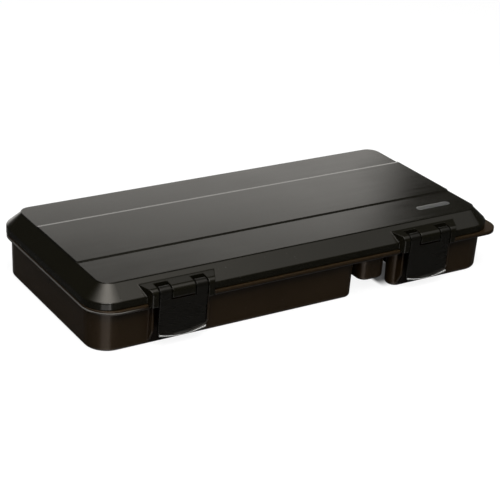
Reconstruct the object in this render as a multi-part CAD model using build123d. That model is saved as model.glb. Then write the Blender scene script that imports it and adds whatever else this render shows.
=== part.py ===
from build123d import *
from math import cos, radians, sin, sqrt, tan
import os

# A flat moulded tackle box: a base tray with three wells, a bevelled hinged lid,
# two front latches on steel pins, two rear hinges and removable dividers.
# Millimetres. X runs along the front, Y from the front to the rear, Z up.
# The origin is on the underside of the large well, in the middle of the length.

# Lid
TOP_LENGTH = 330.0  # flat top, along X
TOP_DEPTH = 142.0  # flat top, along Y
TOP_CORNER = 9.5  # corner radius of the flat top
TOP_STEP = 0.7  # upright step round the flat top
LID_RISE = 15.9  # from the lid's lower edge to its flat top
BEVEL_REACH = 10.8  # how far the bevel stands out on every side
BEVEL_DROP = 10.4  # from the flat top down to the bevel's foot
BEVEL_ROUND = 1.5  # rounding between the bevel and the skirt
ROUND_STEPS = 2  # flats that make up that rounding
LID_TOP_WALL = 2.0
LID_SIDE_WALL = 1.6
BAND_FRONT = 32.3  # front edge of the raised band, from the middle
BAND_REAR = 34.3  # rear edge of the raised band, from the middle
BAND_RISE = 0.8

# Rim of the base
RIM_THICK = 2.9
RIM_FRONT = 2.0  # how far the rim stands out past the lid
RIM_REAR = 1.0
RIM_LEFT = 0.2
RIM_RIGHT = 5.2
RIM_FRONT_LEFT = 22.0  # corner radii of the rim
RIM_FRONT_RIGHT = 14.6
RIM_REAR_RIGHT = 18.0
RIM_REAR_LEFT = 23.0
BEAD_WIDE = 1.2  # raised bead that locates the lid from inside
BEAD_HIGH = 1.4
BEAD_PLAY = 0.5  # between the bead and the lid's skirt

# Wells of the base
WELL_DEPTH = 31.4  # from the large well's underside to the rim's underside
BASE_WALL = 1.8
DRAFT = 1.35  # lean of the well walls, in degrees
FRONT_INSET = 5.8  # from the rim's edge to the well wall under it
REAR_INSET = 6.4
LEFT_INSET = 2.9
RIGHT_INSET = 8.2
OUTER_CORNER = 18.0  # wells' corners at the ends of the box
INNER_CORNER = 8.0  # wells' corners next to another well
WELL_EDGE = 3.0  # rounding between a well's walls and its floor
RIGHT_WELL = 92.5  # length of the right well, along its front
RIGHT_SLANT = 33.0  # how far its slanted front corner reaches back
SLANT_ANGLE = 45.0  # between that slanted wall and the front, in degrees
SMALL_WELL = 24.2  # length of the small well
SMALL_DEPTH = 21.9  # depth of the small well under the rim
SMALL_SET_BACK = 2.0  # small well's front behind the other wells' fronts
LEFT_GAP = 6.4  # open gap between the large well and the small one
RIGHT_GAP = 4.6  # open gap between the small well and the right one
CROSS_WALL = 1.5  # moulded walls across the right well
CROSS_WALL_COUNT = 2

# Dividers of the large well
DIVIDER_COUNT = 5
DIVIDER_THICK = 1.6
DIVIDER_PLAY = 0.3
DIVIDER_BELOW = 1.0  # how far the dividers stop below the rim's top
GUIDE_WIDE = 1.4  # moulded guide ribs that hold a divider's ends
GUIDE_DEEP = 2.4

# Latches
LATCH_FROM_LEFT = 56.1  # from the flat top's left end to the left latch's middle
LATCH_FROM_RIGHT = 58.0
LATCH_PIN_DROP = 8.5  # from the flat top down to the latch pins
LATCH_WIDE = 37.5
ARM_WIDE = 8.7
BARREL_RADIUS = 4.2  # rounded top of the latch's arms
LATCH_THICK = 2.0
LATCH_LEAN = 3.2  # how far the plate leans in, in degrees
LATCH_REACH = 34.5  # from the pin down to the lowest point of the plate
LATCH_BOW = 3.8  # rise of the curved lower edge at its ends
LIP_OUT = 1.6
LIP_SLOPE = 40.0  # slope of the finger lip's top, in degrees
LIP_THIN = 0.4  # height of the lip's front edge in the middle
LIP_THICK = 1.8  # height of the lip's front edge at its ends
LATCH_SIDE_GAP = 1.1  # beside the arms and under the lid's knuckle
LATCH_GAP = 0.4  # other gaps round the moving latch
KNUCKLE_DROP = 4.0  # from the pin down to the lid knuckle's lower edge
HOOK_WIDE = 26.0
HOOK_TIP = 0.8  # height of the hook at its tip
HOOK_ROOT = 4.8  # height of the hook where it joins the plate
HOOK_BITE = 1.7  # how far the hook reaches under the catch
HOOK_PLAY = 0.35

# Latch housings of the lid
HOUSING_OUT = 4.6  # how far a housing stands out past the lid's skirt
HOUSING_SLOPE = 6.0  # fall of its top towards the front, in degrees
HOUSING_ROUND = 1.2  # rounding of its upright front edges
CHEEK_WIDE = 4.6
CHEEK_FLARE = 7.2  # how much wider a housing is at the flat top, each side
CHEEK_DROP = 1.5  # how far the cheeks reach below the lid's lower edge
POCKET_BEHIND = 1.2  # open slot behind the latch's arms
POCKET_WALL = 2.0

# Catches and ribs of the base
CATCH_SET_BACK = 1.1  # rim's edge is cut back this far behind a latch
CATCH_SIDE_GAP = 0.5
RIB_THICK = 1.5
RIB_LENGTH = 19.0  # straight front edge of a rib
RIB_RAMP = 8.6  # height over which a rib runs back into the wall

# Hinges and pins
HINGE_FROM_END = 50.0  # from each end of the flat top to a hinge's middle
KNUCKLE_COUNT = 3
KNUCKLE_LENGTH = 14.3
KNUCKLE_GAP = 0.4
KNUCKLE_RADIUS = 2.9
HINGE_OUT = 3.3  # from the rim's rear edge to the hinge line
PIN_RADIUS = 1.25
PIN_FIXED_FIT = 0.02  # radial clearance where a pin is held
PIN_TURNING_FIT = 0.08  # radial clearance where a piece turns on it

BIG = 1000.0  # larger than the whole box, for cutting blocks

# Heights
rim_under = WELL_DEPTH
rim_top = rim_under + RIM_THICK
lid_top = rim_top + LID_RISE

# Plan of the lid's lower edge and of the rim
lid_front = -(TOP_DEPTH / 2 + BEVEL_REACH)
lid_rear = TOP_DEPTH / 2 + BEVEL_REACH
lid_end = TOP_LENGTH / 2 + BEVEL_REACH
rim_front = lid_front - RIM_FRONT
rim_rear = lid_rear + RIM_REAR
rim_left = -lid_end - RIM_LEFT
rim_right = lid_end + RIM_RIGHT

# Wells at the rim's top
well_front = rim_front + FRONT_INSET
well_rear = rim_rear - REAR_INSET
large_start = rim_left + LEFT_INSET
right_end = rim_right - RIGHT_INSET
right_start = right_end - RIGHT_WELL
small_end = right_start - RIGHT_GAP
small_start = small_end - SMALL_WELL
large_end = small_start - LEFT_GAP

# Latch housings and latch pins
housing_back = -TOP_DEPTH / 2
housing_front = lid_front - HOUSING_OUT
pivot_y = housing_front + BARREL_RADIUS
pivot_z = lid_top - LATCH_PIN_DROP
pocket_rear = pivot_y + BARREL_RADIUS + POCKET_BEHIND
cheek_inner = LATCH_WIDE / 2 + LATCH_SIDE_GAP
cheek_outer = cheek_inner + CHEEK_WIDE
knuckle_half = LATCH_WIDE / 2 - ARM_WIDE - LATCH_SIDE_GAP
cheek_bottom = rim_top - CHEEK_DROP
catch_front = rim_front + CATCH_SET_BACK
latch_left = -TOP_LENGTH / 2 + LATCH_FROM_LEFT
latch_right = TOP_LENGTH / 2 - LATCH_FROM_RIGHT
latch_places = {"left": latch_left, "right": latch_right}

# Hinge pin
hinge_y = rim_rear + HINGE_OUT
hinge_z = rim_top
hinge_length = KNUCKLE_COUNT * (KNUCKLE_LENGTH + KNUCKLE_GAP) - KNUCKLE_GAP
hinge_x = TOP_LENGTH / 2 - HINGE_FROM_END
hinge_places = {"left": -hinge_x, "right": hinge_x}


def block(x, y, z):
    """A box between the given limits on each axis."""
    size = [limits[1] - limits[0] for limits in (x, y, z)]
    middle = [(limits[0] + limits[1]) / 2 for limits in (x, y, z)]
    return Pos(*middle) * Box(*size)


def rounded_plan(corners, radii, height):
    """A flat face at a height, with its corners rounded."""
    points = [(x, y, height) for x, y in corners]
    return make_face(FilletPolyline(*points, radius=radii, close=True))


def rectangle(x, y):
    """Corners of a rectangle, from its front left corner round."""
    return [(x[0], y[0]), (x[1], y[0]), (x[1], y[1]), (x[0], y[1])]


def side_profile(points, x):
    """A solid along X from a closed outline of (y, z) points."""
    outline = make_face(Polyline(*[(x[0], y, z) for y, z in points], close=True))
    return extrude(outline, amount=x[1] - x[0], dir=(1, 0, 0))


def rod(x, y, z, radius):
    """A round bar along X."""
    middle = Pos((x[0] + x[1]) / 2, y, z)
    return middle * Rot(0, 90, 0) * Cylinder(radius, x[1] - x[0])


def lid_plan(reach, height):
    """Plan of the lid where it stands out so far past the flat top."""
    x = TOP_LENGTH / 2 + reach
    y = TOP_DEPTH / 2 + reach
    return rounded_plan(rectangle((-x, x), (-y, y)), TOP_CORNER + reach, height)


def lid_profile():
    """Depths below the flat top, each with how far the lid stands out there."""
    fall = BEVEL_DROP - TOP_STEP
    slope = sqrt(BEVEL_REACH**2 + fall**2)
    tangent = BEVEL_ROUND * (slope - fall) / BEVEL_REACH
    start = BEVEL_DROP - tangent * fall / slope
    end = BEVEL_DROP + tangent
    found = [(0.0, 0.0), (TOP_STEP, 0.0)]
    for step in range(ROUND_STEPS + 1):
        drop = start + (end - start) * step / ROUND_STEPS
        across = sqrt(BEVEL_ROUND**2 - (end - drop) ** 2)
        found.append((drop, BEVEL_REACH - BEVEL_ROUND + across))
    found.append((LID_RISE, BEVEL_REACH))
    return found


def lid_form(profile):
    """A form from depths below the flat top and how far it stands out there."""
    return loft([lid_plan(reach, lid_top - drop) for drop, reach in profile], ruled=True)


def lid_hollow():
    """The open inside of the lid, run out below its lower edge."""
    reach = BEVEL_REACH - LID_SIDE_WALL
    foot = BEVEL_DROP + LID_TOP_WALL
    below = LID_RISE + LID_TOP_WALL
    return lid_form([(LID_TOP_WALL, -LID_SIDE_WALL), (foot, reach), (below, reach)])


def raised_band():
    """The band along the lid's flat top, a little prouder than the rest."""
    strip = block((-BIG, BIG), (-BAND_FRONT, BAND_REAR), (lid_top, BIG))
    return extrude(lid_plan(0.0, lid_top), BAND_RISE) & strip


def housing_half(y):
    """Half the width of a latch housing, wider towards its back."""
    share = (y - housing_front) / (housing_back - housing_front)
    return cheek_outer + CHEEK_FLARE * share


def housing_top(y):
    """Height of a housing's sloping top, which touches the arms' round tops."""
    slope = radians(HOUSING_SLOPE)
    return pivot_z + BARREL_RADIUS / cos(slope) + (y - pivot_y) * tan(slope)


def latch_housing(x):
    """The solid bump round one latch, rounded over at its top front edge."""
    back = housing_back + HOUSING_ROUND
    outline = [
        (housing_front, cheek_bottom),
        (housing_front, housing_top(housing_front)),
        (back, housing_top(back)),
        (back, cheek_bottom),
    ]
    wide = housing_half(back)
    form = side_profile(outline, (x - wide, x + wide))
    top_front = form.edges().filter_by(Axis.X).group_by(Axis.Y)[0].sort_by(Axis.Z)[-1]
    form = fillet(top_front, BARREL_RADIUS)
    plan = [
        (x - cheek_outer, housing_front),
        (x + cheek_outer, housing_front),
        (x + wide, back),
        (x - wide, back),
    ]
    form &= extrude(rounded_plan(plan, HOUSING_ROUND, cheek_bottom), LID_RISE)
    behind_catch = block((-BIG, BIG), (catch_front - LATCH_GAP, BIG), (0, rim_top))
    return form - behind_catch


def latch_pocket(x):
    """What a housing leaves open: room for the arms, the plate and the pin."""
    y = (-BIG, pocket_rear)
    room = block((x - cheek_inner, x + cheek_inner), y, (-BIG, BIG))
    knuckle_x = (x - knuckle_half, x + knuckle_half)
    room -= block(knuckle_x, y, (pivot_z - KNUCKLE_DROP, BIG))
    reach = cheek_inner + CHEEK_WIDE / 2
    hole = rod((x - reach, x + reach), pivot_y, pivot_z, PIN_RADIUS + PIN_FIXED_FIT)
    return room + hole


def pocket_lining(x):
    """Wall between the lid's inside and a latch pocket."""
    half = cheek_inner + POCKET_WALL
    y = (lid_front, pocket_rear + POCKET_WALL)
    return block((x - half, x + half), y, (rim_top, lid_top - TOP_STEP))


def knuckle_limits(x, index):
    """Where one knuckle of a hinge lies along X."""
    start = x - hinge_length / 2 + index * (KNUCKLE_LENGTH + KNUCKLE_GAP)
    return (start, start + KNUCKLE_LENGTH)


def knuckle(limits, arm, hole):
    """One hinge knuckle: a barrel with its arm, bored for the pin."""
    barrel = rod(limits, hinge_y, hinge_z, KNUCKLE_RADIUS)
    return barrel + block(limits, *arm) - rod(limits, hinge_y, hinge_z, hole)


def hinge_knuckles(first, arm, hole):
    """Every second knuckle of both hinges, from the first given."""
    rows = []
    for x in hinge_places.values():
        for index in range(first, KNUCKLE_COUNT, 2):
            rows.append(knuckle(knuckle_limits(x, index), arm, hole))
    return rows


def lid_shell():
    """The lid: hollow, with its band, latch housings and hinge knuckles."""
    outer = lid_form(lid_profile()) + raised_band()
    hollow = lid_hollow()
    for x in latch_places.values():
        outer += latch_housing(x)
        hollow -= pocket_lining(x)
    shell = outer - hollow
    for x in latch_places.values():
        shell -= latch_pocket(x)
    arm = ((lid_rear - LID_SIDE_WALL / 2, hinge_y), (rim_top, rim_top + KNUCKLE_RADIUS))
    for piece in hinge_knuckles(1, arm, PIN_RADIUS + PIN_TURNING_FIT):
        shell += piece
    return shell


def well_plans():
    """Corners, radii and depth of each well."""
    y = (well_front, well_rear)
    large = rectangle((large_start, large_end), y)
    large_radii = [OUTER_CORNER, INNER_CORNER, INNER_CORNER, OUTER_CORNER]
    small = rectangle((small_start, small_end), (well_front + SMALL_SET_BACK, well_rear))
    nose = right_start + INNER_CORNER - INNER_CORNER / tan(radians(SLANT_ANGLE / 2))
    side = nose + RIGHT_SLANT / tan(radians(SLANT_ANGLE))
    right = [
        (nose, well_front),
        (right_end, well_front),
        (right_end, well_rear),
        (side, well_rear),
        (side, well_front + RIGHT_SLANT),
    ]
    right_radii = [INNER_CORNER, OUTER_CORNER, OUTER_CORNER, INNER_CORNER, INNER_CORNER]
    return {
        "large": (large, large_radii, WELL_DEPTH),
        "small": (small, [INNER_CORNER] * 4, SMALL_DEPTH),
        "right": (right, right_radii, WELL_DEPTH),
    }


def leaning_form(name, inset, floor):
    """The space between a well's leaning walls, moved in by an inset, above a floor."""
    corners, radii, depth = well_plans()[name]
    turned = [(x, -y) for x, y in reversed(corners)]
    plan = rounded_plan(turned, radii[::-1], 0.0)
    top = offset(plan, -inset) if inset else plan
    form = extrude(top, depth + RIM_THICK - floor, taper=DRAFT)
    return Pos(0, 0, rim_top) * Rot(180, 0, 0) * form


def well_form(name):
    """One well as a solid, rounded between its walls and its floor."""
    form = leaning_form(name, 0.0, 0.0)
    return fillet(form.edges().group_by(Axis.Z)[0], WELL_EDGE)


def cavity(name, play=0.0):
    """The open inside of a well, or less of it by some play at its walls."""
    form = leaning_form(name, BASE_WALL + play, BASE_WALL)
    return chamfer(form.edges().group_by(Axis.Z)[0], WELL_EDGE - BASE_WALL)


def rim_plate():
    """The rim that joins the wells, cut back where the catches are."""
    corners = rectangle((rim_left, rim_right), (rim_front, rim_rear))
    radii = [RIM_FRONT_LEFT, RIM_FRONT_RIGHT, RIM_REAR_RIGHT, RIM_REAR_LEFT]
    plate = extrude(rounded_plan(corners, radii, rim_under), RIM_THICK)
    notch_half = housing_half(catch_front) + CATCH_SIDE_GAP
    for x in latch_places.values():
        limits = (x - notch_half, x + notch_half)
        plate -= block(limits, (-BIG, catch_front), (0, BIG))
    return plate


def locating_bead():
    """The raised bead just inside the lid's skirt, open at the latches."""
    reach = BEVEL_REACH - LID_SIDE_WALL - BEAD_PLAY
    bead = extrude(lid_plan(reach, rim_top), BEAD_HIGH)
    bead -= extrude(lid_plan(reach - BEAD_WIDE, rim_top), BEAD_HIGH)
    open_half = cheek_inner + POCKET_WALL + BEAD_PLAY
    for x in latch_places.values():
        bead -= block((x - open_half, x + open_half), (-BIG, 0), (0, BIG))
    return bead


def latch_ribs():
    """The upright ribs on the base's front wall, either side of each latch."""
    straight_end = rim_under - RIB_LENGTH
    ramp_end = straight_end - RIB_RAMP
    inside = well_front + BASE_WALL
    outline = [
        (catch_front, rim_under),
        (catch_front, straight_end),
        (well_front, ramp_end),
        (inside, ramp_end),
        (inside, rim_under),
    ]
    middle = (cheek_inner + cheek_outer) / 2
    ribs = []
    for x in latch_places.values():
        for side in (-1, 1):
            start = x + side * middle - RIB_THICK / 2
            ribs.append(side_profile(outline, (start, start + RIB_THICK)))
    return ribs


def divider_places():
    """Middle of each divider along X: equal rooms in the large well."""
    start = large_start + BASE_WALL
    room = (large_end - BASE_WALL - start) / (DIVIDER_COUNT + 1)
    return [start + room * (index + 1) for index in range(DIVIDER_COUNT)]


def divider_guides():
    """Pairs of ribs on the large well's front and rear walls."""
    slot = DIVIDER_THICK + 2 * DIVIDER_PLAY
    strips = None
    for x in divider_places():
        for side in (-1, 1):
            middle = x + side * (slot + GUIDE_WIDE) / 2
            limits = (middle - GUIDE_WIDE / 2, middle + GUIDE_WIDE / 2)
            strip = block(limits, (-BIG, BIG), (BASE_WALL, rim_under))
            strips = strip if strips is None else strips + strip
    reach = BASE_WALL + GUIDE_DEEP
    clear_y = (well_front + reach, well_rear - reach)
    keep_clear = block((-BIG, BIG), clear_y, (0, BIG))
    return (strips & cavity("large")) - keep_clear


def cross_walls():
    """Moulded walls that part the right well's inside."""
    inside = cavity("right")
    start = well_front + RIGHT_SLANT
    room = (well_rear - BASE_WALL - start) / CROSS_WALL_COUNT
    walls = []
    for index in range(CROSS_WALL_COUNT):
        y = start + room * index
        slab = block((-BIG, BIG), (y, y + CROSS_WALL), (0, rim_under))
        walls.append(slab & inside)
    return walls


def base_tray():
    """The base: rim, hollow wells, ribs, guides, bead and hinge knuckles."""
    tray = rim_plate() + locating_bead()
    for name in well_plans():
        tray += well_form(name)
    for rib in latch_ribs():
        tray += rib
    for name in well_plans():
        tray -= cavity(name)
    tray += divider_guides()
    for wall in cross_walls():
        tray += wall
    arm = ((rim_rear - RIM_THICK / 2, hinge_y), (rim_under, rim_top))
    for piece in hinge_knuckles(0, arm, PIN_RADIUS + PIN_FIXED_FIT):
        tray += piece
    return tray


def divider(x):
    """A removable wall, shaped to the large well with play all round."""
    limits = (x - DIVIDER_THICK / 2, x + DIVIDER_THICK / 2)
    plate = block(limits, (-BIG, BIG), (0, rim_top - DIVIDER_BELOW))
    return plate & cavity("large", DIVIDER_PLAY)


def latch_profile():
    """Side view of an arm and the plate below it, at the pin's own origin."""
    drop = LATCH_REACH
    lean = tan(radians(LATCH_LEAN)) * drop
    return [
        (-BARREL_RADIUS, 0.0),
        (-BARREL_RADIUS + lean, -drop),
        (-BARREL_RADIUS + lean + LATCH_THICK, -drop),
        (-BARREL_RADIUS + LATCH_THICK, 0.0),
    ]


def bow_radius(rise):
    """Radius of an arc as wide as the latch that rises by so much."""
    half = LATCH_WIDE / 2
    return (half**2 + rise**2) / (2 * rise)


def below_bow(rise, lowest):
    """Everything outside a round bow, to trim the plate's lower edge."""
    radius = bow_radius(rise)
    disc = Pos(0, 0, lowest + radius) * Rot(90, 0, 0) * Cylinder(radius, BIG)
    half_space = block((-BIG, BIG), (-BIG, BIG), (-BIG, 0))
    return half_space - disc


def finger_lip():
    """The lip along the plate's lower edge, thicker towards its ends."""
    lean = tan(radians(LATCH_LEAN)) * LATCH_REACH
    plate_front = -BARREL_RADIUS + lean
    lip_front = plate_front - LIP_OUT
    half = LATCH_WIDE / 2
    y = (lip_front, plate_front + LATCH_THICK / 2)
    strip = block((-half, half), y, (-LATCH_REACH, 0))
    upper = below_bow(LATCH_BOW + LIP_THICK - LIP_THIN, 0)
    edge = Pos(0, lip_front, LIP_THIN - LATCH_REACH) * Rot(LIP_SLOPE, 0, 0)
    return strip & (edge * upper)


def hook():
    """The hook inside the plate that reaches under the base's catch."""
    top = rim_under - HOOK_PLAY - pivot_z
    tip = catch_front + HOOK_BITE - pivot_y
    root = -BARREL_RADIUS + LATCH_THICK / 2
    outline = [
        (root, top),
        (tip, top),
        (tip, top - HOOK_TIP),
        (root, top - HOOK_ROOT),
    ]
    return side_profile(outline, (-HOOK_WIDE / 2, HOOK_WIDE / 2))


def latch(x):
    """One latch: two arms round the pin, the plate, its lip and its hook."""
    half = LATCH_WIDE / 2
    body = side_profile(latch_profile(), (-half, half))
    body += rod((-half, half), 0, 0, BARREL_RADIUS)
    body += finger_lip()
    body -= below_bow(LATCH_BOW, -LATCH_REACH)
    inner = half - ARM_WIDE
    window_radius = sqrt(BARREL_RADIUS**2 + KNUCKLE_DROP**2) + LATCH_SIDE_GAP
    body -= rod((-inner, inner), 0, 0, window_radius)
    body += hook()
    body -= rod((-half, half), 0, 0, PIN_RADIUS + PIN_TURNING_FIT)
    return Pos(x, pivot_y, pivot_z) * body


def latch_pin(x):
    """A latch's steel pin, from cheek to cheek."""
    reach = cheek_inner + CHEEK_WIDE / 2
    return rod((x - reach, x + reach), pivot_y, pivot_z, PIN_RADIUS)


def hinge_pin(x):
    """A hinge's steel pin, through all its knuckles."""
    reach = hinge_length / 2
    return rod((x - reach, x + reach), hinge_y, hinge_z, PIN_RADIUS)


def pieces():
    """Every separate piece of the box, by name."""
    found = {"base_tray": base_tray(), "lid_shell": lid_shell()}
    for side, x in latch_places.items():
        found[f"front_latch_{side}"] = latch(x)
        found[f"latch_pin_{side}"] = latch_pin(x)
    for side, x in hinge_places.items():
        found[f"hinge_pin_{side}"] = hinge_pin(x)
    for index, x in enumerate(divider_places()):
        found[f"divider_{index + 1}"] = divider(x)
    return found


os.makedirs("parts", exist_ok=True)
for name, piece in pieces().items():
    export_step(piece, f"parts/{name}.step")
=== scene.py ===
"""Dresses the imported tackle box: moulded finishes, finger lips, badge, studio and camera."""

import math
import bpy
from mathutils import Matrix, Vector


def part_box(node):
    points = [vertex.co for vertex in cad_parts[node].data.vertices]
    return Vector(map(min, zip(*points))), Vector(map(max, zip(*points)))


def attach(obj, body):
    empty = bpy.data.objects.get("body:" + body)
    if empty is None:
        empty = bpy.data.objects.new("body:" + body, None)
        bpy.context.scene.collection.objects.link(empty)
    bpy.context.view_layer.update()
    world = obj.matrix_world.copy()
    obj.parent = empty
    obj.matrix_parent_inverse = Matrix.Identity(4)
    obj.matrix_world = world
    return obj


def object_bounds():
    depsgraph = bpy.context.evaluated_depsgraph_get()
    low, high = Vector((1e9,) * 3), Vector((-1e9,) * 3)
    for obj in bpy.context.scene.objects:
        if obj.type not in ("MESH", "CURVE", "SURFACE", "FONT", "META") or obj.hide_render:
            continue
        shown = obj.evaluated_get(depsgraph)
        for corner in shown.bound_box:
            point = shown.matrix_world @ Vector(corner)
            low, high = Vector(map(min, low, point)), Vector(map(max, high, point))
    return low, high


bl_info = {
    "name": "Tackle box dressing",
    "version": (1, 0, 0),
    "blender": (4, 5, 0),
    "location": "3D View > Sidebar > Tackle box",
    "description": "Finishes, finger lips, a badge and a plain studio for a flat tackle box",
    "category": "Object",
}

import bmesh
import bpy
import numpy as np
from bpy.props import FloatProperty, FloatVectorProperty, PointerProperty
from bpy.types import Operator, Panel, PropertyGroup
from mathutils import Matrix, Vector

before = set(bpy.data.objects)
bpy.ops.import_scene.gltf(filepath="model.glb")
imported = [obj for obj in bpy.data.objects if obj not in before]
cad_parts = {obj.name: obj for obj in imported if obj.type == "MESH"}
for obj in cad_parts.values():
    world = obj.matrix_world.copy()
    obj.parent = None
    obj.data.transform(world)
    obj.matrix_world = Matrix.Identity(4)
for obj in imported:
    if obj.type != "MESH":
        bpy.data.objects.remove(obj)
cad_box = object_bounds()

WHITE = (1.0, 1.0, 1.0)
BLACK = (0.0, 0.0, 0.0)
UNTURNED = (0.0, 0.0, 0.0)
UNSTRETCHED = (1.0, 1.0, 1.0)
SENSOR_WIDTH = 36.0  # millimetres, as Blender counts a camera's sensor

BASE_NODES = ["base_tray"]
LID_NODES = ["lid_shell"]
LATCH_NODES = ["front_latch_left", "front_latch_right"]
PIN_NODES = ["latch_pin_left", "latch_pin_right", "hinge_pin_left", "hinge_pin_right"]
DIVIDER_NODES = sorted(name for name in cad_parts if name.startswith("divider_"))


# Settings that a user would change


def length(name, description, default):
    """A length in metres."""
    return FloatProperty(
        name=name, description=description, default=default, min=0.0, unit="LENGTH", precision=5
    )


def share(name, description, default):
    """A number from 0 to 1."""
    return FloatProperty(
        name=name, description=description, default=default, min=0.0, max=1.0, subtype="FACTOR"
    )


def amount(name, description, default):
    """A plain positive number."""
    return FloatProperty(name=name, description=description, default=default, min=0.0)


def angle(name, description, default):
    """An angle, given here in degrees."""
    return FloatProperty(
        name=name, description=description, default=math.radians(default), subtype="ANGLE"
    )


def colour(name, description, default):
    """A linear colour."""
    return FloatVectorProperty(
        name=name, description=description, default=default, size=3, min=0.0, max=1.0, subtype="COLOR"
    )


class LidLook(PropertyGroup):
    """Satin black plastic of the lid."""

    colour: colour("Colour", "Body colour of the plastic", (0.0030, 0.0027, 0.0014))
    tint: colour("Sheen colour", "Colour of its straight-on sheen", (1.0, 0.97, 0.92))
    sheen: share("Sheen", "Strength of its straight-on sheen", 0.28)
    roughness: share("Roughness", "How matt the plastic is", 0.14)
    streaks: share("Streaks", "How much its flow streaks change the roughness", 0.10)
    grain_size: length("Grain size", "Spacing of the mould's grain", 0.0005)
    grain_depth: length("Grain depth", "Depth of the mould's grain", 0.000006)
    sag: length("Sag", "Depth of the slow unevenness of its flat faces", 0.00012)
    edge: length("Edge", "Radius of its softened edges", 0.0008)
    band_rear: length("Band rear", "From the lid's middle to the band's rear edge", 0.0343)
    band_roll: length("Band roll", "Width over which that edge rolls off", 0.0020)
    band_fall: length("Band fall", "How far it falls there", 0.0002)
    wear: share("Wear", "How many fine scratches show", 0.20)


class BaseLook(PropertyGroup):
    """Smoked brown-black plastic of the base."""

    colour: colour("Colour", "Body colour of the plastic", (0.0100, 0.0058, 0.0022))
    tint: colour("Sheen colour", "Colour of its straight-on sheen", (1.0, 0.85, 0.74))
    sheen: share("Sheen", "Strength of its straight-on sheen", 0.22)
    roughness: share("Roughness", "How matt the plastic is", 0.30)
    streaks: share("Streaks", "How much its flow streaks change the roughness", 0.08)
    grain_size: length("Grain size", "Spacing of the mould's grain", 0.0006)
    grain_depth: length("Grain depth", "Depth of the mould's grain", 0.000005)
    sag: length("Sag", "Depth of the slow unevenness of its flat faces", 0.00020)
    edge: length("Edge", "Radius of its softened edges", 0.0014)
    # Painted highlight: a pale line put into the colour of the rim's top edge at the front left,
    # where its rounded edge catches the light.
    painted_highlight: colour("Rubbed colour", "Colour of the rim's rubbed edge", (0.16, 0.155, 0.145))
    highlight_high: length("Highlight height", "Height of that rubbed edge", 0.0011)
    highlight_end: length("Highlight end", "How far along the front it goes before it fades", 0.020)
    rim_round: length("Rim round", "Radius of the rim's front left corner", 0.0220)
    highlight_below: length("Highlight below", "How far below the rim's top it ends", 0.0010)
    # Painted shade: black put into the walls' colour close under the rim, over the rim's lower front
    # face and behind the latches.
    shade: share("Shade", "How dark the walls are close under the rim and behind the latches", 0.85)
    shade_deep: length("Shade depth", "How far the shade reaches down from the rim", 0.0095)
    shade_over: length("Shade over", "How far it reaches up the rim's front face", 0.0013)
    rim_high: length("Rim height", "Height of the rim's edge", 0.0029)
    rim_top: length("Rim top", "Height of the rim's top over the floor", 0.0343)
    wear: share("Wear", "How many fine scratches show", 0.20)


class LatchLook(PropertyGroup):
    """Tough black plastic of the latches."""

    colour: colour("Colour", "Body colour of the plastic", (0.0020, 0.0018, 0.0012))
    tint: colour("Sheen colour", "Colour of its straight-on sheen", (1.0, 0.97, 0.93))
    sheen: share("Sheen", "Strength of its straight-on sheen", 0.20)
    roughness: share("Roughness", "How matt the plastic is", 0.28)
    streaks: share("Streaks", "How much its flow streaks change the roughness", 0.06)
    grain_size: length("Grain size", "Spacing of the mould's grain", 0.0004)
    grain_depth: length("Grain depth", "Depth of the mould's grain", 0.000008)
    sag: length("Sag", "Depth of the slow unevenness of its flat faces", 0.00004)
    edge: length("Edge", "Radius of its softened edges", 0.0008)
    wear: share("Wear", "How many fine scratches show", 0.15)


class LipLook(PropertyGroup):
    """The finger lip along a latch's lower edge."""

    out: length("Out", "How far the lip stands out from the plate", 0.0017)
    bow: length("Bow", "Rise of its lower edge from its middle to its ends", 0.0020)
    thin: length("Thin", "Height of its front edge in the middle", 0.0002)
    thick: length("Thick", "Height of its front edge at its ends", 0.0013)
    # Painted highlight: a pale line put into the colour along the lip's front edge, where the lip
    # catches the light overhead.
    painted_highlight: colour("Rubbed colour", "Colour of its rubbed front edge", (0.34, 0.34, 0.33))
    highlight_wide: length("Highlight width", "How far the glint reaches back", 0.0006)


class DividerLook(PropertyGroup):
    """Smoked plastic of the removable dividers."""

    colour: colour("Colour", "Body colour of the plastic", (0.0180, 0.0130, 0.0080))
    tint: colour("Sheen colour", "Colour of its straight-on sheen", (1.0, 0.85, 0.65))
    sheen: share("Sheen", "Strength of its straight-on sheen", 0.30)
    roughness: share("Roughness", "How matt the plastic is", 0.35)
    streaks: share("Streaks", "How much its flow streaks change the roughness", 0.08)
    grain_size: length("Grain size", "Spacing of the mould's grain", 0.0005)
    grain_depth: length("Grain depth", "Depth of the mould's grain", 0.000008)
    sag: length("Sag", "Depth of the slow unevenness of its flat faces", 0.00012)
    edge: length("Edge", "Radius of its softened edges", 0.0004)
    wear: share("Wear", "How many fine scratches show", 0.50)


class PinLook(PropertyGroup):
    """Drawn steel of the pins."""

    colour: colour("Colour", "Colour of the metal", (0.45, 0.44, 0.42))
    stain: colour("Stain", "Colour of its dull patches", (0.20, 0.17, 0.13))
    roughness: share("Roughness", "How matt the metal is", 0.30)
    ring_spacing: length("Ring spacing", "Spacing of the drawing marks", 0.0004)
    edge: length("Edge", "Radius of its softened edges", 0.0002)


class BadgeLook(PropertyGroup):
    """The bare raised badge on the lid's band."""

    length: length("Length", "Length of the badge", 0.0320)
    width: length("Width", "Width of the badge", 0.0058)
    rise: length("Rise", "How far it stands up from the band", 0.00035)
    from_end: length("From end", "From the lid's right end to its middle", 0.0422)
    from_middle: length("From middle", "How far in front of the lid's middle it lies", 0.0534)
    below_band: length("Below band", "How far its face lies below the band's", 0.0008)
    colour: colour("Colour", "Body colour of the badge", (0.060, 0.060, 0.058))


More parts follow.
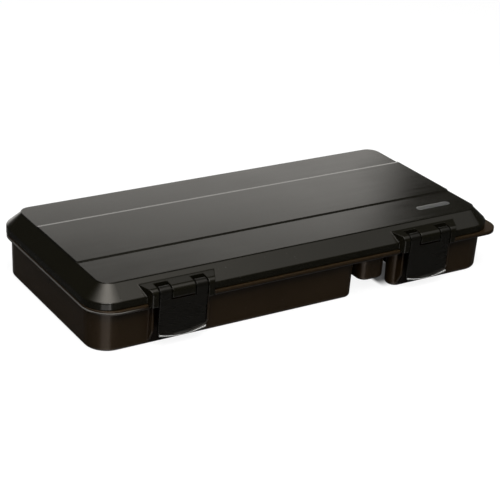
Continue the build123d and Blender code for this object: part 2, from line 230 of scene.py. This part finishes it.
class StudioLook(PropertyGroup):
    """Camera, floor and light."""

    camera_place: FloatVectorProperty(
        name="Camera place",
        description="Where the camera stands",
        default=(-0.56832, -0.86089, 0.48662),
        size=3,
        subtype="TRANSLATION",
        unit="LENGTH",
    )
    camera_turn: angle("Camera turn", "Its turn round the object", -33.41)
    camera_height: angle("Camera height", "Its height above the horizon", 24.58)
    camera_roll: angle("Camera roll", "Its roll about the line of sight", 3.81)
    focal_length: amount("Focal length", "Focal length in millimetres", 104.94)
    floor_tone: share("Floor tone", "How pale the floor is in the lamps' light", 0.14)
    floor_glow: share("Floor glow", "How much white the camera sees added to the floor", 0.88)
    floor_polish: share("Floor polish", "How much the floor mirrors in glossy surfaces", 0.40)
    # The floor's painted shade: a patch behind the slanted well where most of the camera's glow is
    # taken away.
    shade_left: length("Shade left", "Where the shade behind the slanted well starts", 0.0740)
    shade_right: length("Shade right", "Where that shade ends", 0.1100)
    shade_front: FloatProperty(
        name="Shade front", description="How far forward it reaches", default=-0.0760, unit="LENGTH"
    )
    ambient: amount("Ambient light", "Light that comes from all round", 0.15)
    key_power: amount("Key power", "Power of the high lamp at the front left", 34.0)
    key_size: length("Key size", "Width of the high lamp", 1.20)
    front_power: amount("Front power", "Power of the low lamp at the front left", 7.0)
    front_size: length("Front size", "Width of the low lamp", 0.75)
    strip_power: amount("Strip power", "Power of the narrow upright lamp beside it", 3.2)
    strip_size: length("Strip size", "Width of the narrow lamp", 0.14)
    fill_power: amount("Fill power", "Power of the lamp at the right", 4.5)
    fill_size: length("Fill size", "Width of the lamp at the right", 1.60)
    overhead_glow: amount("Overhead", "Brightness of the light overhead in glossy surfaces", 7.5)
    backdrop_glow: amount("Backdrop", "Brightness of the backdrop in glossy surfaces", 1.55)
    dark_side: amount("Dark side", "Brightness of the rest in glossy surfaces", 0.05)


class TackleBoxSettings(PropertyGroup):
    """All settings of the box."""

    lid: PointerProperty(type=LidLook)
    base: PointerProperty(type=BaseLook)
    latches: PointerProperty(type=LatchLook)
    lips: PointerProperty(type=LipLook)
    dividers: PointerProperty(type=DividerLook)
    pins: PointerProperty(type=PinLook)
    badge: PointerProperty(type=BadgeLook)
    studio: PointerProperty(type=StudioLook)


# Shader values


class Wire:
    """A value in a shader tree. Sums on it add the Math nodes that work them out."""

    def __init__(self, tree, socket=None):
        self.tree = tree
        self.socket = socket

    def node(self, kind, settings=None, values=None, output=0):
        """Adds a node: its settings first, then its sockets' values or wires."""
        made = self.tree.nodes.new(kind)
        for name, value in (settings or {}).items():
            setattr(made, name, value)
        for name, value in (values or {}).items():
            socket = find_socket(made.inputs, name)
            if isinstance(value, Wire):
                self.tree.links.new(value.socket, socket)
            else:
                socket.default_value = value
        return Wire(self.tree, find_socket(made.outputs, output))

    def sum(self, operation, first, second=0.0):
        """One Math node on two values."""
        return self.node("ShaderNodeMath", {"operation": operation}, {0: first, 1: second})

    def __add__(self, other):
        return self.sum("ADD", self, other)

    def __radd__(self, other):
        return self.sum("ADD", other, self)

    def __sub__(self, other):
        return self.sum("SUBTRACT", self, other)

    def __rsub__(self, other):
        return self.sum("SUBTRACT", other, self)

    def __mul__(self, other):
        return self.sum("MULTIPLY", self, other)

    def __rmul__(self, other):
        return self.sum("MULTIPLY", other, self)

    def __pow__(self, other):
        return self.sum("POWER", self, other)

    def __rpow__(self, other):
        return self.sum("POWER", other, self)

    def above(self, low, high):
        """0 below low, 1 above high and a smooth step between them."""
        return self.node(
            "ShaderNodeMapRange",
            {"interpolation_type": "SMOOTHSTEP", "clamp": True},
            {"Value": self, "From Min": low, "From Max": high, "To Min": 0.0, "To Max": 1.0},
        )

    def below(self, low, high):
        """1 below low, 0 above high and a smooth step between them."""
        return 1.0 - self.above(low, high)

    def between(self, low, high, soft):
        """1 from low to high and 0 outside them, softened inwards at both ends."""
        return self.above(low, low + soft) * self.below(high - soft, high)


def find_socket(sockets, key):
    """A socket by its place, its identifier or its name, if there are any."""
    if not sockets:
        return None
    if isinstance(key, int):
        return sockets[key]
    for socket in sockets:
        if socket.identifier == key:
            return socket
    return sockets[key]


def larger(first, second):
    """The larger of two values, of which the first is a Wire."""
    return first.sum("MAXIMUM", first, second)


def smaller(first, second):
    """The smaller of two values, of which the first is a Wire."""
    return first.sum("MINIMUM", first, second)


def mix_colours(start, factor, first, second):
    """A colour between two colours."""
    values = {"Factor_Float": factor}
    for name, tone in (("A_Color", first), ("B_Color", second)):
        values[name] = tone if isinstance(tone, Wire) else (*tone, 1.0)
    return start.node("ShaderNodeMix", {"data_type": "RGBA"}, values, "Result_Color")


def object_place(start, turn=UNTURNED, scale=UNSTRETCHED):
    """Object coordinates, turned and stretched."""
    place = start.node("ShaderNodeTexCoord", output="Object")
    return start.node("ShaderNodeMapping", values={"Vector": place, "Rotation": turn, "Scale": scale})


def noise(start, place, scale, detail=2.0, rough=0.5):
    """Soft noise from 0 to 1."""
    values = {"Vector": place, "Scale": scale, "Detail": detail, "Roughness": rough}
    return start.node("ShaderNodeTexNoise", values=values, output="Fac")


def new_tree(name):
    """A new material with an empty tree."""
    material = bpy.data.materials.new(name)
    material.use_nodes = True
    material.node_tree.nodes.clear()
    return material, Wire(material.node_tree)


def finish_surface(start, values):
    """Ends a material's tree in the principled shader with these values."""
    shader = start.node("ShaderNodeBsdfPrincipled", values=values)
    start.node("ShaderNodeOutputMaterial", values={"Surface": shader})


# Finishes


HAIRLINE_TURNS = (0.35, -0.6, 1.25)  # directions of the fine scratches, in radians
HAIRLINE_SCALE = 900.0  # across a scratch, in cycles a metre
HAIRLINE_STRETCH = 0.018  # how drawn-out a scratch is
HAIRLINE_LEVELS = (0.70, 0.76)  # noise at which a scratch starts and is full
SCRATCH_PATCHES = (0.50, 0.68)  # patches at which scratches start and are all there
SCRATCH_SHARE = 0.5  # how much of its own tone a full scratch takes
SCRATCH_PALER = 3.0  # that tone, in tones of the plastic
SCRATCH_GREY = 0.01  # and what is added to it
SCRATCH_ROUGH = 0.15  # how much rougher a full scratch is
SCRATCH_DEPTH = 0.5  # depth of a full scratch, in depths of the grain
STREAK_SCALE = 320.0  # across a flow streak, in cycles a metre
STREAK_STRETCH = 0.05  # how drawn-out the flow streaks are
SAG_SCALE = 11.0  # slow unevenness, in cycles a metre
PATCH_SCALE = 26.0  # patches of more and less handling, in cycles a metre
PATCH_PALER = 1.35  # tone of a handled patch, in tones of the plastic
PATCH_ROUGH = 0.08  # how much the patches change the roughness
DUST_SCALE = 420.0  # cells that may hold a speck of dust, in cycles a metre
DUST_REACH = (0.10, 0.16)  # from a cell's point, in cells, where a speck ends
DUST_PICK = 3.0  # cells to a cycle of the noise that picks some of them
DUST_LEVELS = (0.66, 0.72)  # noise at which cells start to hold a speck and all do
DUST_COLOUR = (0.16, 0.15, 0.14)
DUST_SHARE = 0.6  # how much of that colour a full speck takes
DUST_ROUGH = 0.3  # how much rougher a full speck is
EDGE_SAMPLES = 6  # rays that round a softened edge

MARK_STRETCH = 0.02  # how drawn-out the drawing marks are round a pin
MARK_DEPTH = 0.00001  # depth of the marks, in metres
MARK_STRENGTH = 0.6
MARK_ROUGH = 0.12  # how much the marks change the roughness
STAIN_SCALE = 140.0  # dull patches, in cycles a metre
STAIN_LEVELS = (0.48, 0.70)  # noise at which a dull patch starts and is full
STAIN_SHARE = 0.7  # how much of the stain's colour a full patch takes
STAIN_ROUGH = 0.25  # how much rougher a full patch is
END_SAMPLES = 4  # rays that round a pin's ends


def hairlines(start, turn):
    """Fine straight scratches in one direction, from 0 to 1."""
    place = object_place(start, (0.0, 0.0, turn), (HAIRLINE_STRETCH, 1.0, 1.0))
    return noise(start, place, HAIRLINE_SCALE, detail=1.0).above(*HAIRLINE_LEVELS)


def dust(start):
    """Sparse specks of dust, from 0 to 1."""
    cells = {"Vector": object_place(start), "Scale": DUST_SCALE}
    away = start.node("ShaderNodeTexVoronoi", values=cells, output="Distance")
    pick = noise(start, object_place(start), DUST_SCALE / DUST_PICK, detail=0.0)
    return away.below(*DUST_REACH) * pick.above(*DUST_LEVELS)


def axis_value(place, axis):
    """One coordinate of a place: X, Y or Z."""
    return place.node("ShaderNodeSeparateXYZ", values={"Vector": place}, output=axis)


def moulded_plastic(name, look, relief=None, tones=()):
    """Moulded plastic: grain, flow streaks, slow sag, fine scratches, dust and soft edges.

    A relief adds a height in metres. Each tone is a mask and the colour that it brings, such as a
    painted highlight or painted shade.
    """
    material, start = new_tree(name)
    place = object_place(start)
    patches = noise(start, place, PATCH_SCALE, detail=3.0)
    flow = object_place(start, scale=(STREAK_STRETCH, 1.0, 1.0))
    streaks = noise(start, flow, STREAK_SCALE, detail=3.0)
    lines = sum(hairlines(start, turn) for turn in HAIRLINE_TURNS)
    scratches = lines * patches.above(*SCRATCH_PATCHES) * look.wear
    specks = dust(start) * look.wear
    body = mix_colours(start, patches, look.colour, [PATCH_PALER * part for part in look.colour])
    for mask, tone in tones:
        body = mix_colours(start, mask(place), body, tone)
    scratched = [SCRATCH_PALER * part + SCRATCH_GREY for part in look.colour]
    worn = mix_colours(start, scratches * SCRATCH_SHARE, body, scratched)
    dusty = mix_colours(start, specks * DUST_SHARE, worn, DUST_COLOUR)
    rough = look.roughness + (streaks - 0.5) * look.streaks + (patches - 0.5) * PATCH_ROUGH
    rough = rough + scratches * SCRATCH_ROUGH + specks * DUST_ROUGH
    soft_edges = start.node("ShaderNodeBevel", {"samples": EDGE_SAMPLES}, {"Radius": look.edge})
    height = noise(start, place, SAG_SCALE, detail=1.0) * look.sag
    if relief:
        height = height + relief(place)
    sagged = start.node(
        "ShaderNodeBump",
        values={"Strength": 1.0, "Distance": 1.0, "Height": height, "Normal": soft_edges},
    )
    grain = noise(start, place, 1.0 / look.grain_size) - scratches * SCRATCH_DEPTH
    grained = start.node(
        "ShaderNodeBump",
        values={"Strength": 1.0, "Distance": look.grain_depth, "Height": grain, "Normal": sagged},
    )
    finish_surface(
        start,
        {
            "Base Color": dusty,
            "Roughness": rough,
            "Specular IOR Level": look.sheen,
            "Specular Tint": (*look.tint, 1.0),
            "Normal": grained,
        },
    )
    return material


def drawn_steel(name, look):
    """Drawn steel: marks round the pin, dull patches and soft ends."""
    material, start = new_tree(name)
    along = object_place(start, scale=(1.0, MARK_STRETCH, MARK_STRETCH))
    rings = noise(start, along, 1.0 / look.ring_spacing)
    patches = noise(start, object_place(start), STAIN_SCALE, detail=4.0, rough=0.6)
    stains = patches.above(*STAIN_LEVELS)
    soft_ends = start.node("ShaderNodeBevel", {"samples": END_SAMPLES}, {"Radius": look.edge})
    marks = {"Strength": MARK_STRENGTH, "Distance": MARK_DEPTH, "Height": rings, "Normal": soft_ends}
    finish_surface(
        start,
        {
            "Base Color": mix_colours(start, stains * STAIN_SHARE, look.colour, look.stain),
            "Metallic": 1.0,
            "Roughness": look.roughness + rings * MARK_ROUGH + stains * STAIN_ROUGH,
            "Normal": start.node("ShaderNodeBump", values=marks),
        },
    )
    return material


def paint(names, material):
    """Gives CAD nodes a material."""
    for name in names:
        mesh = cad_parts[name].data
        mesh.materials.clear()
        mesh.materials.append(material)


# New pieces


MERGE_WITHIN = 0.00001  # points nearer than this become one, in metres
BADGE_ROUND = 0.8  # radius of the badge's rounded edge, as a share of its rise
LIP_SUNK = 0.0005  # how deep a lip's back lies in the plate, in metres


def ring_piece(name, rings, material, body):
    """A closed piece from rings of points, of which the first and the last close up.

    Quads join each ring to the next and each point to the next one round the ring.
    """
    count, around = rings.shape[:2]
    here = np.arange(count * around).reshape(count, around)
    after = np.roll(here, -1, axis=1)
    quads = np.stack([here[:-1], after[:-1], after[1:], here[1:]], axis=2)
    mesh = bpy.data.meshes.new(name)
    mesh.from_pydata(rings.reshape(-1, 3).tolist(), [], quads.reshape(-1, 4).tolist())
    work = bmesh.new()
    work.from_mesh(mesh)
    bmesh.ops.remove_doubles(work, verts=work.verts, dist=MERGE_WITHIN)
    bmesh.ops.recalc_face_normals(work, faces=work.faces)
    work.to_mesh(mesh)
    work.free()
    mesh.shade_smooth()
    mesh.materials.append(material)
    piece = bpy.data.objects.new(name, mesh)
    bpy.context.scene.collection.objects.link(piece)
    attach(piece, body)


def pillow_profile(radius, rise, sunk, steps=8):
    """Insets and heights of rings from a plate's middle over its rounded edge to its seat.

    The edge is a quarter round of radius r: inset = r (1 - sin t) and
    height = rise - r (1 - cos t), with t from 0 to pi / 2.
    """
    turn = np.linspace(0.0, math.pi / 2, steps)
    edge = rise * BADGE_ROUND
    inset = np.concatenate([[radius, radius / 2], edge * (1 - np.sin(turn)), [0.0, radius]])
    height = np.concatenate([[rise, rise], rise - edge * (1 - np.cos(turn)), [-sunk, -sunk]])
    return inset, height


def pill_rings(centre, plate_length, width, rise, sunk, around=96):
    """A pill-shaped plate: each ring is a straight stretch with a half circle at each end.

    A point is the middle, plus or minus half the straight stretch along X, plus the ring's
    radius times (cos a, sin a), with a from 0 to a full turn.
    """
    radius = width / 2
    inset, height = pillow_profile(radius, rise, sunk)
    turn = np.linspace(0.0, 2 * math.pi, around, endpoint=False) + math.pi / around
    reach = (plate_length - width) / 2 * np.sign(np.cos(turn))
    ring_radius = (radius - inset)[:, None]
    x = centre[0] + reach[None, :] + ring_radius * np.cos(turn)[None, :]
    y = centre[1] + ring_radius * np.sin(turn)[None, :]
    z = centre[2] + np.repeat(height[:, None], around, axis=1)
    return np.stack([x, y, z], axis=2)


def lip_rings(low, high, look, stations=49, steps=9):
    """A finger lip along a latch's lower edge, from its left end to its right one.

    At u from -1 to 1 its underside lies bow * u^2 above the latch's lowest point, and its
    front edge is thin + (thick - thin) * u^2 high. Over that edge it turns up into the plate
    in a hollow quarter round: y = front + out * sin t and z = out * (1 - cos t), with t from
    0 to pi / 2. The first and the last ring are closed at their middles.
    """
    along = np.linspace(-1.0, 1.0, stations)[:, None]
    turn = np.linspace(0.0, math.pi / 2, steps)
    front = low.y
    back = front + look.out + LIP_SUNK
    y = np.concatenate([[back, front], front + look.out * np.sin(turn), [back]])
    rise = np.concatenate([[0.0, 0.0], look.out * (1.0 - np.cos(turn)), [look.out]])
    over_edge = np.concatenate([[0.0, 0.0], np.ones(steps + 1)])
    edge = look.thin + (look.thick - look.thin) * along**2
    z = low.z + look.bow * along**2 + edge * over_edge + rise
    x = (low.x + high.x) / 2 + (high.x - low.x) / 2 * along
    rings = np.stack(np.broadcast_arrays(x, y, z), axis=2)
    middles = np.broadcast_to(rings.mean(axis=1, keepdims=True), rings.shape)
    return np.concatenate([middles[:1], rings, middles[-1:]])


# Operators


TOP_SKIN = 0.0010  # what is this near to the lid's highest level is its top, in metres
TOP_SOFT = 0.0002  # over how much that limit fades
RIM_SKIN = 0.0008  # how deep behind the rim's outer face the painted highlight line is full
RIM_SOFT = 0.0004  # and over how much it fades behind that
TONE_SOFT = 0.0003  # over how much a tone fades at its upper and lower ends
FULL_SHADE = 0.002  # how far under the rim the shade is still full
LATCH_SIDE = 0.003  # how far beside a latch its shade reaches
LATCH_SOFT = 0.0004  # over how much it fades there
FRONT_DEEP = (0.010, 0.012)  # how far behind the base's front its shade fades and ends
FULL_HIGHLIGHT = 0.3  # share of a lip's painted highlight width that is full


def everywhere(place):
    """A mask of the whole piece."""
    return 1.0


class TACKLEBOX_OT_lid(Operator):
    """Give the lid its satin black plastic"""

    bl_idname = "tacklebox.lid"
    bl_label = "Finish the lid"

    def execute(self, context):
        look = context.scene.tackle_box.lid
        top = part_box("lid_shell")[1].z - TOP_SKIN

        def rolled_band(place):
            away = axis_value(place, "Y").above(look.band_rear - look.band_roll, look.band_rear)
            on_top = axis_value(place, "Z").above(top - TOP_SOFT, top)
            return away * on_top * -look.band_fall

        paint(LID_NODES, moulded_plastic("lid_satin_black", look, relief=rolled_band))
        return {"FINISHED"}


class TACKLEBOX_OT_base(Operator):
    """Give the base its smoked plastic, with a painted highlight on the rim and painted shade under
    it and behind the latches
    """

    bl_idname = "tacklebox.base"
    bl_label = "Finish the base"

    def execute(self, context):
        look = context.scene.tackle_box.base
        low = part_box("base_tray")[0]

        # Painted highlight: a pale band on the rim's outer face below its top, along the left end,
        # round the front left corner and fading along the front.
        def painted_highlight(place):
            top = look.rim_top - look.highlight_below
            bottom = top - look.highlight_high
            band = axis_value(place, "Z").between(bottom - TONE_SOFT, top, TONE_SOFT)
            across, away = axis_value(place, "X"), axis_value(place, "Y")
            left = smaller(across - (low.x + look.rim_round), 0.0)
            near = smaller(away - (low.y + look.rim_round), 0.0)
            from_middle = (left * left + near * near) ** 0.5
            skin = look.rim_round - RIM_SKIN
            outside = from_middle.above(skin - RIM_SOFT, skin)
            end = low.x + look.highlight_end
            return band * outside * across.below(end, end + look.highlight_end)

        # Painted shade: black mixed into the base's front, in a band from under the rim up over the
        # lower part of its face, and below the rim behind the latches.
        def shaded(place):
            under = look.rim_top - look.rim_high
            top = under + look.shade_over
            up, across = axis_value(place, "Z"), axis_value(place, "X")
            below_top = up.below(top - TONE_SOFT, top)
            mask = up.above(under - look.shade_deep, under - FULL_SHADE) * below_top
            for node in LATCH_NODES:
                left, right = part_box(node)
                behind = across.between(left.x - LATCH_SIDE, right.x + LATCH_SIDE, LATCH_SOFT)
                mask = larger(mask, behind * below_top)
            fades, ends = FRONT_DEEP
            front = axis_value(place, "Y").below(low.y + fades, low.y + ends)
            return mask * front * look.shade

        tones = [(painted_highlight, look.painted_highlight), (shaded, BLACK)]
        paint(BASE_NODES, moulded_plastic("base_smoked_brown", look, tones=tones))
        return {"FINISHED"}


class TACKLEBOX_OT_latches(Operator):
    """Give the latches their tough black plastic"""

    bl_idname = "tacklebox.latches"
    bl_label = "Finish the latches"

    def execute(self, context):
        paint(LATCH_NODES, moulded_plastic("latch_black", context.scene.tackle_box.latches))
        return {"FINISHED"}


class TACKLEBOX_OT_lips(Operator):
    """Add the finger lip along each latch's lower edge"""

    bl_idname = "tacklebox.lips"
    bl_label = "Add the finger lips"

    def execute(self, context):
        settings = context.scene.tackle_box
        look = settings.lips
        for node in LATCH_NODES:
            low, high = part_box(node)
            side = node.rsplit("_", 1)[1]

            # Painted highlight: a pale line along the lip's front edge.
            def painted_highlight(place):
                away = axis_value(place, "Y") - low.y
                return away.below(FULL_HIGHLIGHT * look.highlight_wide, look.highlight_wide)

            tones = [(painted_highlight, look.painted_highlight)]
            material = moulded_plastic(f"{node}_lip", settings.latches, tones=tones)
            rings = lip_rings(low, high, look)
            ring_piece(f"finger_lip_{side}", rings, material, f"latch_{side}")
        return {"FINISHED"}


class TACKLEBOX_OT_dividers(Operator):
    """Give the dividers their smoked plastic"""

    bl_idname = "tacklebox.dividers"
    bl_label = "Finish the dividers"

    def execute(self, context):
        paint(DIVIDER_NODES, moulded_plastic("divider_smoked", context.scene.tackle_box.dividers))
        return {"FINISHED"}


class TACKLEBOX_OT_pins(Operator):
    """Give the pins their drawn steel"""

    bl_idname = "tacklebox.pins"
    bl_label = "Finish the pins"

    def execute(self, context):
        paint(PIN_NODES, drawn_steel("pin_drawn_steel", context.scene.tackle_box.pins))
        return {"FINISHED"}


class TACKLEBOX_OT_badge(Operator):
    """Add the bare raised badge on the lid's band"""

    bl_idname = "tacklebox.badge"
    bl_label = "Add the badge"

    def execute(self, context):
        settings = context.scene.tackle_box
        look = settings.badge
        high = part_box("lid_shell")[1]
        centre = (high.x - look.from_end, -look.from_middle, high.z - look.below_band)
        rings = pill_rings(centre, look.length, look.width, look.rise, look.rise)
        tones = [(everywhere, look.colour)]
        material = moulded_plastic("badge_grey", settings.lid, tones=tones)
        ring_piece("lid_badge", rings, material, "lid")
        return {"FINISHED"}


class TACKLEBOX_OT_studio(Operator):
    """Set the floor, the light and the camera"""

    bl_idname = "tacklebox.studio"
    bl_label = "Set the studio"

    def execute(self, context):
        look = context.scene.tackle_box.studio
        pale_floor(look)
        soft_lamps(look)
        studio_world(look)
        photo_camera(look)
        context.scene.view_settings.view_transform = "Standard"
        return {"FINISHED"}


# Studio


FLOOR_HALF = 8.0  # half the floor's width, in metres
POLISH_METAL = 0.95  # how metallic the floor's polish is
POLISH_ROUGH = 0.10  # how matt it is
# These shape the floor's painted shade behind the slanted well.
SHADE_SIDE = 0.005  # over how much the floor's shade fades at its sides, in metres
SHADE_FRONT = 0.015  # and at its front
SHADE_REAR = (-0.04, -0.02)  # where along Y it fades and ends, in metres
SHADE_SHARE = 0.94  # how much of the floor's glow it takes away

OVERHEAD = (-152.0, 70.0)  # turn and height of the key lamp and the light overhead, in degrees
FRONT_LAMP = (-142.0, 33.0)  # those of the low lamp at the front left
STRIP_LAMP = (-159.0, 33.0)  # those of the narrow upright lamp
FILL_LAMP = (112.0, 54.0)  # those of the weak lamp at the right
KEY_FAR = 1.5  # from the box to the key lamp, in metres
FRONT_FAR = 1.6  # to the low lamp and the narrow one
FILL_FAR = 2.2  # to the weak lamp
STRIP_TALL = 6.5  # height of the narrow lamp, in its widths

BACKDROP_EDGE = 38.9  # where the backdrop ends at the right, in degrees from the rear
BACKDROP_TILT = 8.0  # how far that edge leans, in degrees
BACKDROP_LEFT = -6.0  # where it ends at the left, in degrees from the rear
RIGHT_FADE = (0.035, 0.070)  # sines of the angle past the right edge where it fades and ends
LEFT_FADE = (-0.20, 0.20)  # sines of the angle from the left edge where it starts and is full
HIGH_FADE = (0.370, 0.430)  # sines of the heights between which it dims
HIGH_SHARE = 0.27  # what is left of it above them
OVERHEAD_FALL = 9.0  # how fast the light overhead falls off, as a power of the cosine
WARM = (1.0, 0.975, 0.935)  # tint of the world in glossy surfaces


def light_rays(start):
    """Whether a ray sees the scene straight or through glass, and whether it is a glossy one."""
    straight = start.node("ShaderNodeLightPath", output="Is Camera Ray")
    outputs = straight.socket.node.outputs
    through = Wire(start.tree, outputs["Is Transmission Ray"])
    glossy = Wire(start.tree, outputs["Is Glossy Ray"])
    return larger(straight, through), glossy


def floor_shade(start, look):
    """A mask of the painted shade on the floor behind the slanted well: there the camera's white glow
    is mostly taken away, so the box's real shadow shows dark.
    """
    place = object_place(start)
    across, away = axis_value(place, "X"), axis_value(place, "Y")
    inside = across.between(look.shade_left, look.shade_right, SHADE_SIDE)
    behind = away.above(look.shade_front, look.shade_front + SHADE_FRONT)
    return inside * behind * away.below(*SHADE_REAR)


def pale_floor(look):
    """A wide pale floor at the box's lowest level.

    To the camera it glows white, less so in a painted shade patch behind the slanted well, and keeps
    the box's shadow. In glossy surfaces it shows its polish, which mirrors the lamps.
    """
    material, start = new_tree("floor_pale")
    seen, glossy = light_rays(start)

    def glow(strength):
        values = {"Color": (*WHITE, 1.0), "Strength": seen * strength}
        return start.node("ShaderNodeEmission", values=values)

    tone = (look.floor_tone,) * 3
    lit = start.node("ShaderNodeBsdfDiffuse", values={"Color": (*tone, 1.0)})
    bright, faint = glow(look.floor_glow), glow(look.floor_glow * (1.0 - SHADE_SHARE))
    glows = {0: floor_shade(start, look), 1: bright, 2: faint}
    white = start.node("ShaderNodeMixShader", values=glows)
    plain = start.node("ShaderNodeAddShader", values={0: lit, 1: white})
    mirrored = (look.floor_polish,) * 3
    values = {"Base Color": (*mirrored, 1.0), "Metallic": POLISH_METAL, "Roughness": POLISH_ROUGH}
    polished = start.node("ShaderNodeBsdfPrincipled", values=values)
    both = start.node("ShaderNodeMixShader", values={0: glossy, 1: plain, 2: polished})
    start.node("ShaderNodeOutputMaterial", values={"Surface": both})

    level = cad_box[0].z
    corners = [(-FLOOR_HALF, -FLOOR_HALF), (FLOOR_HALF, -FLOOR_HALF)]
    corners += [(FLOOR_HALF, FLOOR_HALF), (-FLOOR_HALF, FLOOR_HALF)]
    mesh = bpy.data.meshes.new("floor")
    mesh.from_pydata([(x, y, level) for x, y in corners], [], [(0, 1, 2, 3)])
    mesh.materials.append(material)
    floor = bpy.data.objects.new("floor", mesh)
    bpy.context.scene.collection.objects.link(floor)


def direction(turn, height):
    """The direction at a turn from the rear towards the right and a height, in degrees."""
    a, e = math.radians(turn), math.radians(height)
    return Vector((math.sin(a) * math.cos(e), math.cos(a) * math.cos(e), math.sin(e)))


def add_lamp(name, place, distance, wide, power, tall=1.0):
    """A soft lamp at a turn and height from the box, facing it, so many times as tall as wide."""
    data = bpy.data.lights.new(name, "AREA")
    data.shape = "RECTANGLE"
    data.size = wide
    data.size_y = wide * tall
    data.energy = power
    lamp = bpy.data.objects.new(name, data)
    towards = direction(*place)
    lamp.location = towards * distance
    lamp.rotation_euler = towards.to_track_quat("Z", "Y").to_euler()
    bpy.context.scene.collection.objects.link(lamp)
    return lamp


def soft_lamps(look):
    """A high key lamp, a low lamp and a narrow one at the front left, a weak one at the right.

    Glossy surfaces show the world's overhead light in the key lamp's place.
    """
    key = add_lamp("key_lamp", OVERHEAD, KEY_FAR, look.key_size, look.key_power)
    key.visible_glossy = False
    add_lamp("front_lamp", FRONT_LAMP, FRONT_FAR, look.front_size, look.front_power)
    add_lamp("strip_lamp", STRIP_LAMP, FRONT_FAR, look.strip_size, look.strip_power, STRIP_TALL)
    add_lamp("fill_lamp", FILL_LAMP, FILL_FAR, look.fill_size, look.fill_power)


def studio_world(look):
    """White for the camera, an even light for matt faces and a studio for glossy ones.

    That studio has a backdrop, which ends at a leaning edge at the right and an upright one at
    the left and dims upwards, and a round light overhead that falls off as a power of the
    cosine.
    """
    world = bpy.data.worlds.new("studio")
    world.use_nodes = True
    world.node_tree.nodes.clear()
    start = Wire(world.node_tree)
    seen, glossy = light_rays(start)
    towards = start.node("ShaderNodeTexCoord", output="Generated")

    def along(axis):
        values = {0: towards, 1: tuple(axis)}
        return start.node("ShaderNodeVectorMath", {"operation": "DOT_PRODUCT"}, values, "Value")

    right_edge = along(direction(BACKDROP_EDGE + 90.0, BACKDROP_TILT)).below(*RIGHT_FADE)
    left_edge = along(direction(BACKDROP_LEFT + 90.0, 0.0)).above(*LEFT_FADE)
    fade = HIGH_SHARE + (1.0 - HIGH_SHARE) * along((0.0, 0.0, 1.0)).below(*HIGH_FADE)
    backdrop = right_edge * left_edge * fade * look.backdrop_glow
    overhead = larger(along(direction(*OVERHEAD)), 0.0) ** OVERHEAD_FALL
    mirrored = look.dark_side + backdrop + overhead * look.overhead_glow
    rest = 1.0 - larger(seen, glossy)
    strength = seen + glossy * mirrored + rest * look.ambient
    tone = mix_colours(start, glossy, WHITE, WARM)
    sky = start.node("ShaderNodeBackground", values={"Color": tone, "Strength": strength})
    start.node("ShaderNodeOutputWorld", values={"Surface": sky})
    bpy.context.scene.world = world


def photo_camera(look):
    """The camera at the photograph's place and angle."""
    data = bpy.data.cameras.new("photo_camera")
    data.sensor_width = SENSOR_WIDTH
    data.lens = look.focal_length
    camera = bpy.data.objects.new("photo_camera", data)
    turn = Matrix.Rotation(look.camera_turn, 4, "Z")
    tilt = Matrix.Rotation(math.pi / 2 - look.camera_height, 4, "X")
    roll = Matrix.Rotation(look.camera_roll, 4, "Z")
    camera.matrix_world = Matrix.Translation(look.camera_place) @ turn @ tilt @ roll
    bpy.context.scene.collection.objects.link(camera)
    bpy.context.scene.camera = camera


# Panel and registration


OPERATORS = (
    TACKLEBOX_OT_lid,
    TACKLEBOX_OT_base,
    TACKLEBOX_OT_latches,
    TACKLEBOX_OT_lips,
    TACKLEBOX_OT_dividers,
    TACKLEBOX_OT_pins,
    TACKLEBOX_OT_badge,
    TACKLEBOX_OT_studio,
)


class TACKLEBOX_PT_dressing(Panel):
    """Lists the steps that dress the tackle box"""

    bl_idname = "TACKLEBOX_PT_dressing"
    bl_label = "Tackle box"
    bl_space_type = "VIEW_3D"
    bl_region_type = "UI"
    bl_category = "Tackle box"

    def draw(self, context):
        for operator in OPERATORS:
            self.layout.operator(operator.bl_idname)


GROUPS = (
    LidLook,
    BaseLook,
    LatchLook,
    LipLook,
    DividerLook,
    PinLook,
    BadgeLook,
    StudioLook,
    TackleBoxSettings,
)


def register():
    for item in (*GROUPS, *OPERATORS, TACKLEBOX_PT_dressing):
        bpy.utils.register_class(item)
    bpy.types.Scene.tackle_box = PointerProperty(type=TackleBoxSettings)


def unregister():
    del bpy.types.Scene.tackle_box
    for item in reversed((*GROUPS, *OPERATORS, TACKLEBOX_PT_dressing)):
        bpy.utils.unregister_class(item)


def main():
    """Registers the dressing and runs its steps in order."""
    register()
    for step in ("lid", "base", "latches", "lips", "dividers", "pins", "badge", "studio"):
        getattr(bpy.ops.tacklebox, step)()


if __name__ == "__main__":
    main()
